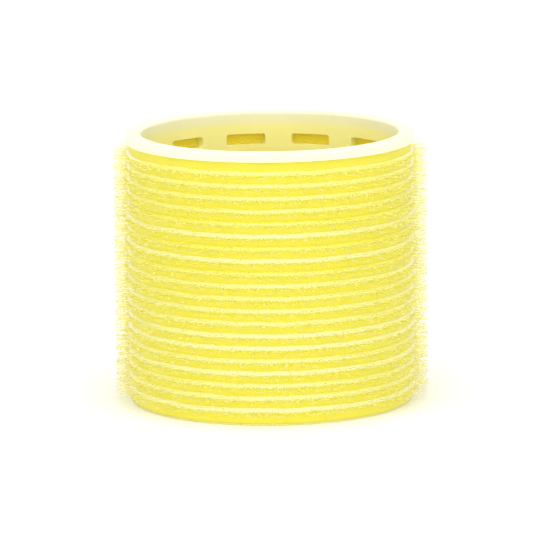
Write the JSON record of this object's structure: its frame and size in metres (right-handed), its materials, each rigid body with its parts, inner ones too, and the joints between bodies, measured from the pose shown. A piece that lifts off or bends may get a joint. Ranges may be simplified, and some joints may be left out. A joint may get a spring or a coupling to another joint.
{
  "type": "self-grip hair roller",
  "caption": "Open plastic tube with rectangular windows, wrapped in a woven tape that carries level rows of fine hooks, with a smooth bare rim at one end.",
  "frame": {"origin": "centre of the base, where the tube's axis meets the surface that the roller stands on", "axes": "+Z along the tube, from the base to the bare rim; -Y is the front, and the tape's seam is at the back"},
  "size_m": [0.07, 0.07, 0.06],
  "materials": {
    "core_plastic": "satin",
    "tape_weave": "matte",
    "hook_yarn": "satin",
    "glue": "gloss"
  },
  "bodies": {
    "root": {"core": "core_plastic", "hook_tape": "tape_weave", "seam_glue": "glue", "hook_row_01": "hook_yarn", "hook_row_02": "hook_yarn", "hook_row_03": "hook_yarn", "hook_row_04": "hook_yarn", "hook_row_05": "hook_yarn", "hook_row_06": "hook_yarn", "hook_row_07": "hook_yarn", "hook_row_08": "hook_yarn", "hook_row_09": "hook_yarn", "hook_row_10": "hook_yarn", "hook_row_11": "hook_yarn", "hook_row_12": "hook_yarn", "hook_row_13": "hook_yarn", "hook_row_14": "hook_yarn", "hook_row_15": "hook_yarn", "hook_row_16": "hook_yarn", "hook_row_17": "hook_yarn", "hook_row_18": "hook_yarn", "hook_row_19": "hook_yarn", "hook_row_20": "hook_yarn"}
  },
  "joints": []
}
